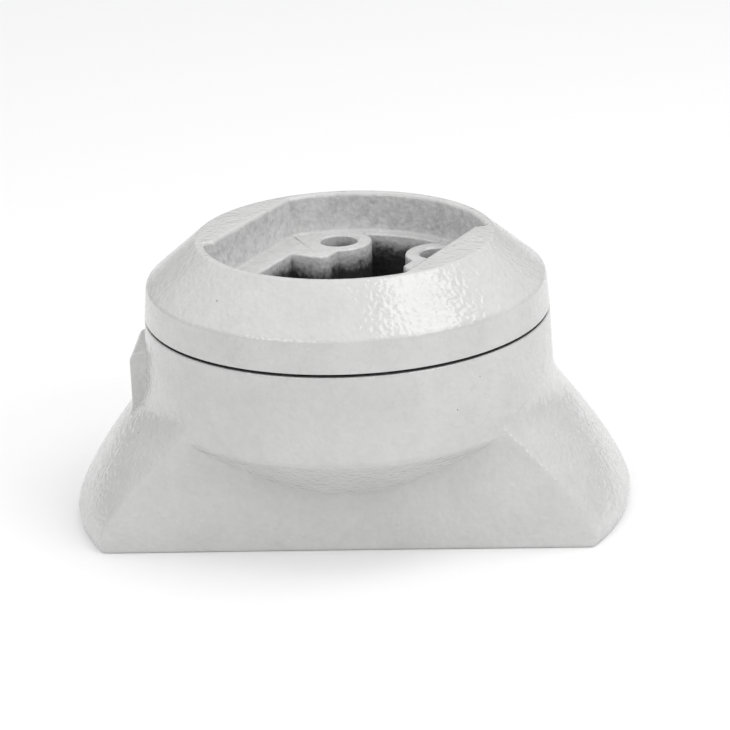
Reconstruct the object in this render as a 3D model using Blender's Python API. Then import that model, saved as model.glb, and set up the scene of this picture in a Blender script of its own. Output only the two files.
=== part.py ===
"""Swivelling stanchion base: a cast foot, a cast head that turns in it, and the fittings between them.

Frame: +Z up, metres. The origin lies on the swivel axis, at the foot's bottom face.
X runs along the foot's two ears and Y runs square to its two flat sides.
The head's own axes are the turned pair (n, a): a runs along the recess's flats.
"""

import math

import bmesh
import bpy
from mathutils import Matrix, Vector

MM = 0.001

# Driving dimensions, in millimetres.
HEAD_RADIUS = 60.0            # radius of the head's band and of the collar under it
FOOT_HEIGHT = 60.0            # deck to the joint face
EAR_REACH = 24.0              # how far the ears stand out past the head's radius
BELLY_Z = 3.6                 # deck to the widest point of the ears
DECK_TURN_IN = 0.6            # how far the ears draw in below that
FOOT_HALF_WIDTH = 42.0        # swivel axis to each flat side
COLLAR_DRAFT = 1.2            # growth of the collar's radius over its height
COLLAR_HEIGHT = 26.2          # joint face to the collar's lower edge
COLLAR_CHAMFER = 0.8
UNDERCUT_SLOPE = 0.87         # drop per millimetre of the cone below the collar
FOOT_WALL = 6.0               # shell of the foot round its hollow underside
JOINT_GAP = 0.6               # visible slot between the foot and the head
BAND_HEIGHT = 10.4            # upright band at the head's foot
HEAD_HEIGHT = 23.1            # joint face to the head's flat top
TOP_RADIUS = 44.0             # flat top of the head
RECESS_HALF_FLAT = 32.4       # swivel axis to each flat of the recess
RECESS_RADIUS = 41.4          # round ends of the recess
RELIEF_PROUD = 2.3            # relief at one end of each flat, out past the flat
RELIEF_START = 20.1           # swivel axis to that relief, along the flat
LEDGE_HEIGHT = 10.8           # joint face to the ledge inside the recess
HEAD_TURN = 65.4              # degrees from +X to the flats of the recess
POCKET_HALF_WIDTH = 24.3      # side pockets of the well, across the flats
POCKET_HALF_LENGTH = 10.8     # side pockets of the well, along the flats
WELL_HALF_WIDTH = 12.6        # well between its side pockets and its bosses
WELL_RADIUS = 38.6            # round ends of the well
WELL_DEPTH = 30.0             # ledge to the floor of the well
BOSS_ACROSS = 16.9            # stanchion bolt, across the flats
BOSS_ALONG = 27.6             # stanchion bolt, along the flats
BOSS_RADIUS = 10.0            # metal round each stanchion bolt
BOLT_HOLE_RADIUS = 5.7        # stanchion bolt hole in the ledge
BOLT_HOLE_DEPTH = 24.0
BOLT_INSERT_LENGTH = 13.7
BOLT_THREAD_RADIUS = 3.4
SPIGOT_WALL = 8.4             # metal between the well and the journal under the head
SPIGOT_LENGTH = 24.0          # joint face to the journal's end
NECK_BORE_RADIUS = 18.0
FLANGE_THICKNESS = 10.0       # inner flange of the foot
BUSH_WALL = 4.0
BUSH_LENGTH = 11.4
WASHER_THICKNESS = 1.5
PLATE_THICKNESS = 6.0
PLATE_RIM = 6.0               # how far the retaining plate reaches past the neck
PLATE_CLEARANCE = 1.0         # round the retaining plate, in its pocket
PLATE_POCKET_WALL = 4.0       # metal between that pocket and the flat sides
SCREW_RADIUS = 3.0
SCREW_HEAD_RADIUS = 5.6
SCREW_HEAD_HEIGHT = 3.3
SCREW_REACH = 21.0            # length of each screw inside the neck
SCREW_SOCKET_ACROSS = 4.0
LOCK_DROP = 16.8              # joint face to the lock screw's axis
LOCK_SCREW_RADIUS = 4.0
LOCK_SCREW_LENGTH = 10.0
LOCK_SOCKET_ACROSS = 4.0
LOCK_SOCKET_DEPTH = 4.0
LOCK_BOSS_PROUD = 6.0         # how far the lock boss stands out past the head's radius
LOCK_SCREW_SETBACK = 1.5      # boss's face to the screw's outer end
LOCK_BOSS_HALF_WIDTH = 11.0
LOCK_BOSS_RISE = 9.0          # lock screw's axis to the boss's top
LOCK_BOSS_ROUND = 4.0
DECK_INSET = 20.0             # deck fixing, in from the ears' widest point
DECK_BOSS_RADIUS = 11.0
DECK_BOSS_MERGE = 1.5         # how far each deck boss runs into the side wall
DECK_INSERT_RADIUS = 6.7
DECK_INSERT_LENGTH = 15.7
DECK_THREAD_RADIUS = 4.25
SEAL_LIP_THICKNESS = 0.3
SEAL_LIP_SETBACK = 0.8        # lip's edge inside the head's radius
SEAL_LIP_WIDTH = 7.0
SEAL_LEG_THICKNESS = 2.0
SEAL_LEG_DEPTH = 2.4
SEAL_LEG_INSET = 2.3          # lip's inner edge to the leg
RING_SECTION_RADIUS = 0.95    # O-ring on the neck
FIT = 0.3                     # clearance between pieces that touch
OVERRUN = 5.0                 # how far a cutter runs past the face that it opens
SEGMENTS = 72
SMALL_SEGMENTS = 24
EAR_PHASE = 0.5               # facet phases of the forms that meet in the foot
CORE_PHASE = 0.8
HOLLOW_PHASE = 0.25
POCKET_PHASE = 0.4

# Heights and radii that follow from them.
JOINT_Z = FOOT_HEIGHT
HEAD_Z = JOINT_Z + JOINT_GAP
TOP_Z = JOINT_Z + HEAD_HEIGHT
SPIGOT_RADIUS = WELL_RADIUS + SPIGOT_WALL
POCKET_RADIUS = FOOT_HALF_WIDTH - PLATE_POCKET_WALL
PLATE_RADIUS = POCKET_RADIUS - PLATE_CLEARANCE
NECK_RADIUS = PLATE_RADIUS - PLATE_RIM
SCREW_CIRCLE_RADIUS = 0.5 * (NECK_BORE_RADIUS + NECK_RADIUS)
SEAL_LIP_OUTER = HEAD_RADIUS - SEAL_LIP_SETBACK
SEAL_LIP_INNER = SEAL_LIP_OUTER - SEAL_LIP_WIDTH
SEAL_LEG_RADIUS = SEAL_LIP_INNER + SEAL_LEG_INSET
LOCK_BOSS_REACH = HEAD_RADIUS + LOCK_BOSS_PROUD
LEDGE_Z = JOINT_Z + LEDGE_HEIGHT
WELL_FLOOR_Z = LEDGE_Z - WELL_DEPTH
BOLT_HOLE_FLOOR_Z = LEDGE_Z - BOLT_HOLE_DEPTH
SPIGOT_END_Z = JOINT_Z - SPIGOT_LENGTH
FLANGE_TOP_Z = SPIGOT_END_Z - WASHER_THICKNESS - 2.0 * FIT
FLANGE_BOTTOM_Z = FLANGE_TOP_Z - FLANGE_THICKNESS
PLATE_TOP_Z = FLANGE_BOTTOM_Z - WASHER_THICKNESS - 2.0 * FIT
PLATE_BOTTOM_Z = PLATE_TOP_Z - PLATE_THICKNESS
NECK_END_Z = PLATE_TOP_Z + FIT
RING_Z = 0.5 * (FLANGE_TOP_Z + FLANGE_BOTTOM_Z)
LOWER_BORE_RADIUS = SPIGOT_RADIUS + 4.0 * FIT
BUSH_INNER_RADIUS = SPIGOT_RADIUS + FIT
BUSH_OUTER_RADIUS = BUSH_INNER_RADIUS + BUSH_WALL - FIT
UPPER_BORE_RADIUS = BUSH_OUTER_RADIUS + FIT
FLANGE_BORE_RADIUS = NECK_RADIUS + FIT
BUSH_TOP_Z = JOINT_Z - FIT
BUSH_BOTTOM_Z = BUSH_TOP_Z - BUSH_LENGTH
SHOULDER_Z = BUSH_BOTTOM_Z - FIT
LOCK_Z = JOINT_Z - LOCK_DROP
COLLAR_EDGE_RADIUS = HEAD_RADIUS + COLLAR_DRAFT
COLLAR_EDGE_Z = JOINT_Z - COLLAR_HEIGHT
EAR_RADIUS = HEAD_RADIUS + EAR_REACH
SHOULDER_TOP_Z = JOINT_Z - 20.0
DECK_ALONG = EAR_RADIUS - DECK_INSET
DECK_ACROSS = FOOT_HALF_WIDTH - FOOT_WALL - DECK_BOSS_RADIUS + DECK_BOSS_MERGE
DECK_HOLE_DEPTH = DECK_INSERT_LENGTH + 2.0 * FIT


def clear_scene():
    """Remove every object that the file holds."""
    for item in list(bpy.data.objects):
        bpy.data.objects.remove(item, do_unlink=True)


def material(name, colour, roughness, metallic):
    """A Principled material with one colour."""
    made = bpy.data.materials.new(name)
    made.use_nodes = True
    shader = made.node_tree.nodes["Principled BSDF"]
    shader.inputs["Base Color"].default_value = (*colour, 1.0)
    shader.inputs["Roughness"].default_value = roughness
    shader.inputs["Metallic"].default_value = metallic
    return made


def finish_mesh(name, builder, paint):
    """Turn a bmesh, drawn in millimetres, into a named object with outward faces."""
    bmesh.ops.remove_doubles(builder, verts=builder.verts, dist=1e-5)
    bmesh.ops.recalc_face_normals(builder, faces=builder.faces)
    bmesh.ops.scale(builder, vec=(MM, MM, MM), verts=builder.verts)
    mesh = bpy.data.meshes.new(name)
    builder.to_mesh(mesh)
    builder.free()
    mesh.shade_smooth()
    mesh.set_sharp_from_angle(angle=math.radians(35.0))
    item = bpy.data.objects.new(name, mesh)
    bpy.context.scene.collection.objects.link(item)
    if paint is not None:
        mesh.materials.append(paint)
    return item


def lathe(name, profile, paint=None, segments=SEGMENTS, phase=0.0):
    """Turn a closed outline of (radius, height) points about Z, with its facets turned by a phase.

    Forms that cut or join each other take different phases, a share of one facet, so that
    their edges cross instead of running along each other.
    """
    builder = bmesh.new()
    rings = []
    for radius, height in profile:
        if radius < 1e-6:
            rings.append([builder.verts.new((0.0, 0.0, height))])
            continue
        ring = []
        for step in range(segments):
            turn = 2.0 * math.pi * (step + phase) / segments
            ring.append(builder.verts.new((radius * math.cos(turn), radius * math.sin(turn), height)))
        rings.append(ring)
    for index, ring in enumerate(rings):
        other = rings[(index + 1) % len(rings)]
        if len(ring) == 1 and len(other) == 1:
            continue
        for step in range(segments):
            after = (step + 1) % segments
            corners = [ring[step % len(ring)], ring[after % len(ring)]]
            corners += [other[after % len(other)], other[step % len(other)]]
            builder.faces.new(list(dict.fromkeys(corners)))
    return finish_mesh(name, builder, paint)


def prism(name, outline, low, high, paint=None):
    """Raise a closed outline of (x, y) points from one height to another."""
    builder = bmesh.new()
    lower = [builder.verts.new((x, y, low)) for x, y in outline]
    upper = [builder.verts.new((x, y, high)) for x, y in outline]
    builder.faces.new(lower)
    builder.faces.new(upper)
    for index in range(len(outline)):
        after = (index + 1) % len(outline)
        builder.faces.new((lower[index], lower[after], upper[after], upper[index]))
    return finish_mesh(name, builder, paint)


def cylinder(name, centre, radius, low, high, segments=SMALL_SEGMENTS, phase=0.0):
    """An upright round cutter about a point in the XY plane."""
    start = 360.0 * phase / segments
    outline = arc(centre, radius, start, start + 360.0, segments + 1)[:-1]
    return prism(name, outline, low, high)


def arc(centre, radius, start, end, count):
    """Points of a circular arc, with its angles in degrees."""
    points = []
    for step in range(count):
        turn = math.radians(start + (end - start) * step / (count - 1))
        points.append((centre[0] + radius * math.cos(turn), centre[1] + radius * math.sin(turn)))
    return points


def hexagon(across):
    """Outline of a socket with this size across its flats."""
    return arc((0.0, 0.0), across / math.sqrt(3.0), 0.0, 300.0, 6)


def combine(item, operation, others):
    """Add one Boolean to an object for each of the others, and hide those."""
    for other in others:
        step = item.modifiers.new(operation.title() + "_" + other.name, "BOOLEAN")
        step.operation = operation
        step.solver = "EXACT"
        step.object = other
        other.hide_render = True
        other.display_type = "WIRE"


def place(item, matrix):
    """Move an object's mesh, with the matrix's shift in millimetres."""
    moved = matrix.copy()
    moved.translation = matrix.translation * MM
    item.data.transform(moved)
    return item


def own_axis(item, joint):
    """Give an object its origin on a joint's empty, and parent it there."""
    item.data.transform(Matrix.Translation(-joint.location))
    item.parent = joint
    return item


def pivot(name, place_mm, parent=None):
    """An empty on a joint's axis."""
    empty = bpy.data.objects.new(name, None)
    empty.empty_display_size = 20.0 * MM
    empty.location = Vector(place_mm) * MM
    bpy.context.scene.collection.objects.link(empty)
    if parent is not None:
        empty.parent = parent
    return empty


def bell_outline(offset):
    """Half section of the ears, a distance inside their outer face, from the axis to the deck.

    From the belly up to the shoulder the radius falls as 1 - t**1.5, with t the share of
    that height, and below the belly the edge turns in a little towards the deck.
    """
    steps = 12
    points = [(0.0, SHOULDER_TOP_Z - offset)]
    for step in range(steps + 1):
        share = 1.0 - step / steps
        radius = HEAD_RADIUS + EAR_REACH * (1.0 - share ** 1.5) ** 0.93
        height = BELLY_Z + (SHOULDER_TOP_Z - BELLY_Z) * share
        points.append((radius - offset, height - UNDERCUT_SLOPE * offset * share))
    points.append((EAR_RADIUS - DECK_TURN_IN - offset, 0.0))
    return points


def head_to_world(across, along):
    """Turn a point in the head's own axes into the object's X and Y."""
    turn = math.radians(HEAD_TURN)
    x = along * math.cos(turn) - across * math.sin(turn)
    y = along * math.sin(turn) + across * math.cos(turn)
    return (x, y)


def recess_outline():
    """Two flats joined by two round ends, with a small relief where each end meets its next flat."""
    corner = math.degrees(math.asin(RECESS_HALF_FLAT / RECESS_RADIUS))
    relief = math.degrees(math.asin((RECESS_HALF_FLAT + RELIEF_PROUD) / RECESS_RADIUS))
    end = arc((0.0, 0.0), RECESS_RADIUS, -relief, corner, 25)
    half = [(-RECESS_HALF_FLAT, RELIEF_START)] + [(across, along) for along, across in end]
    outline = half + [(-across, -along) for across, along in half]
    return [head_to_world(across, along) for across, along in outline]


def well_outline():
    """Side pockets, waist and boss scallops of the well, in the object's X and Y."""
    boss_angle = math.acos((BOSS_ACROSS - WELL_HALF_WIDTH) / BOSS_RADIUS)
    enter = 180.0 + math.degrees(boss_angle)
    span = math.hypot(BOSS_ACROSS, BOSS_ALONG)
    reach = (WELL_RADIUS ** 2 - BOSS_RADIUS ** 2 + span ** 2) / (2.0 * span)
    half_chord = math.sqrt(WELL_RADIUS ** 2 - reach ** 2)
    end_across = (reach * BOSS_ACROSS - half_chord * BOSS_ALONG) / span
    end_along = (reach * BOSS_ALONG + half_chord * BOSS_ACROSS) / span
    leave = math.degrees(math.atan2(end_along - BOSS_ALONG, end_across - BOSS_ACROSS))
    quarter = [(POCKET_HALF_WIDTH, POCKET_HALF_LENGTH), (WELL_HALF_WIDTH, POCKET_HALF_LENGTH)]
    quarter += arc((BOSS_ACROSS, BOSS_ALONG), BOSS_RADIUS, enter, leave, 9)
    end_turn = math.degrees(math.atan2(end_along, end_across))
    end = arc((0.0, 0.0), WELL_RADIUS, end_turn, 180.0 - end_turn, 7)[1:-1]
    half = quarter + end + [(-across, along) for across, along in reversed(quarter)]
    outline = half + [(-across, -along) for across, along in half]
    return [head_to_world(across, along) for across, along in outline]


def bolt_places():
    """The four stanchion bolts, in the object's X and Y."""
    signs = ((1, 1), (-1, 1), (-1, -1), (1, -1))
    return [head_to_world(across * BOSS_ACROSS, along * BOSS_ALONG) for across, along in signs]


def deck_places():
    """The four deck fixings, in X and Y."""
    signs = ((1, 1), (-1, 1), (-1, -1), (1, -1))
    return [(along * DECK_ALONG, across * DECK_ACROSS) for along, across in signs]


def screw_places():
    """The four retaining screws, midway between the head's axes."""
    return arc((0.0, 0.0), SCREW_CIRCLE_RADIUS, HEAD_TURN + 45.0, HEAD_TURN + 315.0, 4)


def slab(name, half_width):
    """A wide box between two planes of constant Y, for cutting the flat sides."""
    reach = EAR_RADIUS + OVERRUN
    outline = [(-reach, -half_width), (reach, -half_width), (reach, half_width), (-reach, half_width)]
    return prism(name, outline, -OVERRUN, JOINT_Z + OVERRUN)


def foot_collar():
    """The round collar with its conical underside, stepped bore, flange and grooves."""
    cone_end = FOOT_HALF_WIDTH - 2.0
    cone_end_z = COLLAR_EDGE_Z - (COLLAR_EDGE_RADIUS - cone_end) * UNDERCUT_SLOPE
    groove_inner = SEAL_LEG_RADIUS - FIT
    groove_outer = SEAL_LEG_RADIUS + SEAL_LEG_THICKNESS + FIT
    groove_z = JOINT_Z - SEAL_LEG_DEPTH - FIT
    ring_outer = FLANGE_BORE_RADIUS + 2.0 * RING_SECTION_RADIUS
    ring_high = RING_Z + RING_SECTION_RADIUS + FIT
    ring_low = RING_Z - RING_SECTION_RADIUS - FIT
    top = [(groove_inner, JOINT_Z), (groove_inner, groove_z), (groove_outer, groove_z)]
    top += [(groove_outer, JOINT_Z), (HEAD_RADIUS - COLLAR_CHAMFER, JOINT_Z)]
    side = [(HEAD_RADIUS, JOINT_Z - COLLAR_CHAMFER), (COLLAR_EDGE_RADIUS, COLLAR_EDGE_Z)]
    side += [(cone_end, cone_end_z), (FLANGE_BORE_RADIUS, cone_end_z)]
    bore = [(FLANGE_BORE_RADIUS, ring_low), (ring_outer, ring_low), (ring_outer, ring_high)]
    bore += [(FLANGE_BORE_RADIUS, ring_high), (FLANGE_BORE_RADIUS, FLANGE_TOP_Z)]
    bore += [(LOWER_BORE_RADIUS, FLANGE_TOP_Z), (LOWER_BORE_RADIUS, SHOULDER_Z)]
    bore += [(UPPER_BORE_RADIUS, SHOULDER_Z), (UPPER_BORE_RADIUS, JOINT_Z)]
    return lathe("collar_form", top + side + bore)


def foot_core():
    """The middle of the ears, which the collar fills: its sides lie inside the collar's metal."""
    wide = 0.5 * (UPPER_BORE_RADIUS + HEAD_RADIUS)
    narrow = 0.5 * (FLANGE_BORE_RADIUS + LOWER_BORE_RADIUS)
    step_z = 0.5 * (FLANGE_TOP_Z + FLANGE_BOTTOM_Z)
    return lathe("core_form", [
        (0.0, JOINT_Z), (wide, JOINT_Z), (wide, step_z), (narrow, step_z),
        (narrow, -OVERRUN), (0.0, -OVERRUN)], phase=CORE_PHASE)


def foot_hollow():
    """The space under the foot: a round pocket and the insides of the two ears."""
    ceiling_z = FLANGE_BOTTOM_Z - 1.0
    outline = [(radius, min(height, ceiling_z)) for radius, height in bell_outline(FOOT_WALL)[1:-1]]
    rim_radius = outline[-1][0]
    outline = [(0.0, ceiling_z)] + outline + [(rim_radius, -OVERRUN), (0.0, -OVERRUN)]
    hollow = lathe("hollow_form", outline, phase=HOLLOW_PHASE)
    bosses = []
    for index, centre in enumerate(deck_places(), start=1):
        form = cylinder(f"deck_boss_form_{index}", centre, DECK_BOSS_RADIUS,
                        -2.0 * OVERRUN, JOINT_Z)
        bosses.append(form)
    combine(hollow, "INTERSECT", [slab("hollow_slab", FOOT_HALF_WIDTH - FOOT_WALL)])
    combine(hollow, "DIFFERENCE", bosses)
    return hollow


def lock_boss():
    """The pad on the -X side that carries the lock screw."""
    inner = SPIGOT_RADIUS + 2.0 * BUSH_WALL
    low = COLLAR_EDGE_Z - OVERRUN
    high = LOCK_Z + LOCK_BOSS_RISE
    outer = LOCK_BOSS_REACH
    corner = (outer - LOCK_BOSS_ROUND, high - LOCK_BOSS_ROUND)
    section = [(inner, low), (outer, low)] + arc(corner, LOCK_BOSS_ROUND, 0.0, 90.0, 6) + [(inner, high)]
    width = LOCK_BOSS_HALF_WIDTH
    form = prism("lock_boss_form", section, -width, width)
    stand = Matrix(((-1.0, 0.0, 0.0, 0.0), (0.0, 0.0, 1.0, 0.0), (0.0, 1.0, 0.0, 0.0), (0.0, 0.0, 0.0, 1.0)))
    return place(form, stand)


def along_x(radius, near, far, name, paint=None, segments=SMALL_SEGMENTS):
    """A round bar on the lock screw's axis, between two distances from the swivel axis."""
    form = prism(name, arc((0.0, 0.0), radius, 0.0, 360.0, segments + 1)[:-1], near, far, paint)
    turned = Matrix.Rotation(-0.5 * math.pi, 4, "Y")
    return place(form, Matrix.Translation((0.0, 0.0, LOCK_Z)) @ turned)


def make_foot(paint):
    """The cast foot: two ears, a collar, a lock boss, a stepped bore and a hollow underside."""
    foot = lathe("foot_casting", bell_outline(0.0) + [(0.0, 0.0)], paint, phase=EAR_PHASE)
    pocket = cylinder("plate_pocket_form", (0.0, 0.0), POCKET_RADIUS, -2.0 * OVERRUN,
                      FLANGE_BOTTOM_Z, SEGMENTS, POCKET_PHASE)
    lock_hole = along_x(LOCK_SCREW_RADIUS + FIT, SPIGOT_RADIUS - OVERRUN,
                        LOCK_BOSS_REACH + OVERRUN, "lock_hole_form")
    holes = [cylinder(f"deck_hole_form_{index}", centre, DECK_INSERT_RADIUS + FIT,
                      -OVERRUN, DECK_HOLE_DEPTH)
             for index, centre in enumerate(deck_places(), start=1)]
    combine(foot, "INTERSECT", [slab("foot_slab", FOOT_HALF_WIDTH)])
    combine(foot, "DIFFERENCE", [foot_core()])
    combine(foot, "UNION", [foot_collar(), lock_boss()])
    combine(foot, "DIFFERENCE", [foot_hollow(), pocket, lock_hole] + holes)


def make_head(paint, swivel):
    """The cast head: cone and band outside, recess, ledge and well inside, journal and neck below."""
    head = lathe("swivel_head", [
        (NECK_BORE_RADIUS, TOP_Z), (TOP_RADIUS, TOP_Z),
        (HEAD_RADIUS - 0.9, JOINT_Z + BAND_HEIGHT), (HEAD_RADIUS, HEAD_Z + 0.4),
        (HEAD_RADIUS - 0.4, HEAD_Z), (SPIGOT_RADIUS, HEAD_Z), (SPIGOT_RADIUS, SPIGOT_END_Z),
        (NECK_RADIUS, SPIGOT_END_Z), (NECK_RADIUS, NECK_END_Z), (NECK_BORE_RADIUS, NECK_END_Z)], paint)
    recess = prism("recess_form", recess_outline(), LEDGE_Z, TOP_Z + OVERRUN)
    well = prism("well_form", well_outline(), WELL_FLOOR_Z, LEDGE_Z + OVERRUN)
    holes = [cylinder(f"bolt_hole_form_{index}", centre, BOLT_HOLE_RADIUS,
                      BOLT_HOLE_FLOOR_Z, LEDGE_Z + OVERRUN)
             for index, centre in enumerate(bolt_places(), start=1)]
    taps = [cylinder(f"screw_hole_form_{index}", centre, SCREW_RADIUS + FIT,
                     NECK_END_Z - OVERRUN, NECK_END_Z + SCREW_REACH + FIT)
            for index, centre in enumerate(screw_places(), start=1)]
    combine(head, "DIFFERENCE", [recess, well] + holes + taps)
    own_axis(head, swivel)


def ring(name, inner, outer, low, high, paint, segments=SEGMENTS):
    """A plain ring about the swivel axis."""
    return lathe(name, [(inner, high), (outer, high), (outer, low), (inner, low)], paint, segments)


def make_bearings(acetal, rubber):
    """Bush, thrust washers and the two seals, all on the swivel axis."""
    ring("radial_bush", BUSH_INNER_RADIUS, BUSH_OUTER_RADIUS, BUSH_BOTTOM_Z, BUSH_TOP_Z, acetal)
    ring("upper_thrust_washer", NECK_RADIUS + 2.0 * FIT, SPIGOT_RADIUS - FIT,
         FLANGE_TOP_Z + FIT, SPIGOT_END_Z - FIT, acetal)
    ring("lower_thrust_washer", NECK_RADIUS + 2.0 * FIT, PLATE_RADIUS,
         PLATE_TOP_Z + FIT, FLANGE_BOTTOM_Z - FIT, acetal)
    lip_low = JOINT_Z + 0.5 * (JOINT_GAP - SEAL_LIP_THICKNESS)
    lip_high = lip_low + SEAL_LIP_THICKNESS
    leg_outer = SEAL_LEG_RADIUS + SEAL_LEG_THICKNESS
    leg_low = JOINT_Z - SEAL_LEG_DEPTH
    lathe("gap_seal", [
        (SEAL_LIP_INNER, lip_high), (SEAL_LIP_OUTER, lip_high), (SEAL_LIP_OUTER, lip_low), (leg_outer, lip_low),
        (leg_outer, leg_low), (SEAL_LEG_RADIUS, leg_low), (SEAL_LEG_RADIUS, lip_low),
        (SEAL_LIP_INNER, lip_low)], rubber)
    ring_centre = (NECK_RADIUS + 0.5 * FIT + RING_SECTION_RADIUS, RING_Z)
    section = arc(ring_centre, RING_SECTION_RADIUS, 180.0, -135.0, 8)
    lathe("neck_o_ring", section, rubber)


def make_retainer(steel, swivel):
    """The plate under the flange, and the four screws that hold it to the neck."""
    plate = ring("retaining_plate", NECK_BORE_RADIUS - 1.0, PLATE_RADIUS, PLATE_BOTTOM_Z, PLATE_TOP_Z, steel)
    reach = NECK_END_Z + SCREW_REACH
    for index, centre in enumerate(screw_places(), start=1):
        spot = Matrix.Translation((*centre, 0.0))
        seat = PLATE_BOTTOM_Z + SCREW_HEAD_HEIGHT
        hole = lathe(f"countersink_form_{index}", [
            (0.0, PLATE_TOP_Z + OVERRUN), (SCREW_RADIUS + FIT, PLATE_TOP_Z + OVERRUN),
            (SCREW_RADIUS + FIT, seat + FIT), (SCREW_HEAD_RADIUS + FIT, PLATE_BOTTOM_Z + 0.6),
            (SCREW_HEAD_RADIUS + FIT, PLATE_BOTTOM_Z - OVERRUN), (0.0, PLATE_BOTTOM_Z - OVERRUN)],
            segments=SMALL_SEGMENTS)
        combine(plate, "DIFFERENCE", [place(hole, spot)])
        screw = lathe(f"retaining_screw_{index}", [
            (0.0, reach), (SCREW_RADIUS - 0.5, reach), (SCREW_RADIUS, reach - 0.5), (SCREW_RADIUS, seat),
            (SCREW_HEAD_RADIUS, PLATE_BOTTOM_Z + 0.4), (SCREW_HEAD_RADIUS, PLATE_BOTTOM_Z),
            (0.0, PLATE_BOTTOM_Z)], steel, SMALL_SEGMENTS)
        place(screw, spot)
        socket = prism(f"screw_socket_form_{index}", hexagon(SCREW_SOCKET_ACROSS),
                       PLATE_BOTTOM_Z - OVERRUN, PLATE_BOTTOM_Z + 2.4)
        combine(screw, "DIFFERENCE", [place(socket, spot)])
        own_axis(screw, swivel)
    own_axis(plate, swivel)


def threaded_insert(name, centre, inner, outer, low, high, paint):
    """A threaded sleeve about an upright axis, with its thread as a plain bore."""
    sleeve = ring(name, inner, outer, low, high, paint, SMALL_SEGMENTS)
    return place(sleeve, Matrix.Translation((*centre, 0.0)))


def make_inserts(steel, swivel):
    """Sleeves for the deck bolts in the foot, and for the stanchion bolts in the head."""
    for index, centre in enumerate(deck_places(), start=1):
        threaded_insert(f"deck_bolt_insert_{index}", centre, DECK_THREAD_RADIUS, DECK_INSERT_RADIUS,
                        FIT, FIT + DECK_INSERT_LENGTH, steel)
    low = BOLT_HOLE_FLOOR_Z + FIT
    for index, centre in enumerate(bolt_places(), start=1):
        sleeve = threaded_insert(f"stanchion_bolt_insert_{index}", centre, BOLT_THREAD_RADIUS,
                                 BOLT_HOLE_RADIUS - FIT, low, low + BOLT_INSERT_LENGTH, steel)
        own_axis(sleeve, swivel)


def make_lock(steel, brass):
    """The set screw in the side boss and the pad that it pushes against the journal."""
    screw_out = LOCK_BOSS_REACH - LOCK_SCREW_SETBACK
    screw_in = screw_out - LOCK_SCREW_LENGTH
    travel = pivot("lock_travel_axis", (-screw_in, 0.0, LOCK_Z))
    turn = pivot("lock_turn_axis", (0.0, 0.0, 0.0), travel)
    pad = along_x(LOCK_SCREW_RADIUS - 0.2, SPIGOT_RADIUS + FIT, screw_in - FIT, "lock_pad", brass)
    own_axis(pad, travel)
    screw = along_x(LOCK_SCREW_RADIUS, screw_in, screw_out, "lock_screw", steel)
    socket = prism("lock_socket_form", hexagon(LOCK_SOCKET_ACROSS), screw_out - LOCK_SOCKET_DEPTH,
                   screw_out + OVERRUN)
    turned = Matrix.Rotation(-0.5 * math.pi, 4, "Y")
    place(socket, Matrix.Translation((0.0, 0.0, LOCK_Z)) @ turned)
    combine(screw, "DIFFERENCE", [socket])
    screw.data.transform(Matrix.Translation(-travel.location))
    screw.parent = turn


def main():
    """Build every piece."""
    clear_scene()
    coat = material("powder_coat", (0.78, 0.78, 0.77), 0.35, 0.0)
    head_coat = material("head_powder_coat", (0.80, 0.80, 0.79), 0.35, 0.0)
    acetal = material("acetal", (0.85, 0.84, 0.80), 0.45, 0.0)
    rubber = material("black_rubber", (0.02, 0.02, 0.02), 0.7, 0.0)
    steel = material("stainless_steel", (0.62, 0.62, 0.60), 0.3, 1.0)
    brass = material("brass", (0.70, 0.52, 0.25), 0.35, 1.0)
    swivel = pivot("swivel_axis", (0.0, 0.0, JOINT_Z))
    make_foot(coat)
    make_head(head_coat, swivel)
    make_bearings(acetal, rubber)
    make_retainer(steel, swivel)
    make_inserts(steel, swivel)
    make_lock(steel, brass)


main()
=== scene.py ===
"""A swivelling stanchion base: an eared foot, a coned head, and the small pieces between them."""

import math
import bpy
import numpy as np
from bpy.props import FloatProperty, FloatVectorProperty, IntProperty, PointerProperty
from mathutils import Matrix, Vector


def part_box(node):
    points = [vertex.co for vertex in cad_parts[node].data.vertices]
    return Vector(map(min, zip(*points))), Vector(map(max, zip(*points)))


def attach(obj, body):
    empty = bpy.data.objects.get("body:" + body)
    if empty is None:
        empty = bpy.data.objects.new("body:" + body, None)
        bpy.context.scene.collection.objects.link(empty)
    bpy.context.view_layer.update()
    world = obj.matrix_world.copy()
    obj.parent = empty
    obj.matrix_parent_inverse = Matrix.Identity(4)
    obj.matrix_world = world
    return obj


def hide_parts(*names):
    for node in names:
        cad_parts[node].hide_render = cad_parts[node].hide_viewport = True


bl_info = {
    "name": "Stanchion base",
    "version": (1, 0, 0),
    "blender": (4, 5, 0),
    "location": "View3D > Sidebar > Stanchion",
    "description": "Builds a swivelling stanchion base around its packed frame",
    "category": "Object",
}

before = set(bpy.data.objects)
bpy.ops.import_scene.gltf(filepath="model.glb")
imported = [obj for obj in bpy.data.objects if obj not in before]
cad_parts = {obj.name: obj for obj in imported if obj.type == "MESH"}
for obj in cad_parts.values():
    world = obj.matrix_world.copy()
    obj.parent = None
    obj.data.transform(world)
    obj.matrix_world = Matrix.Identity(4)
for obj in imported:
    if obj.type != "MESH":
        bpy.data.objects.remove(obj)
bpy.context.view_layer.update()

MM = 0.001


def cad_radius(node):
    """Largest distance of a turned node from the swivel axis, along X."""
    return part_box(node)[1].x


def cad_span(node):
    """Lowest and highest Z of a node, in millimetres."""
    low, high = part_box(node)
    return low.z / MM, high.z / MM


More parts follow.
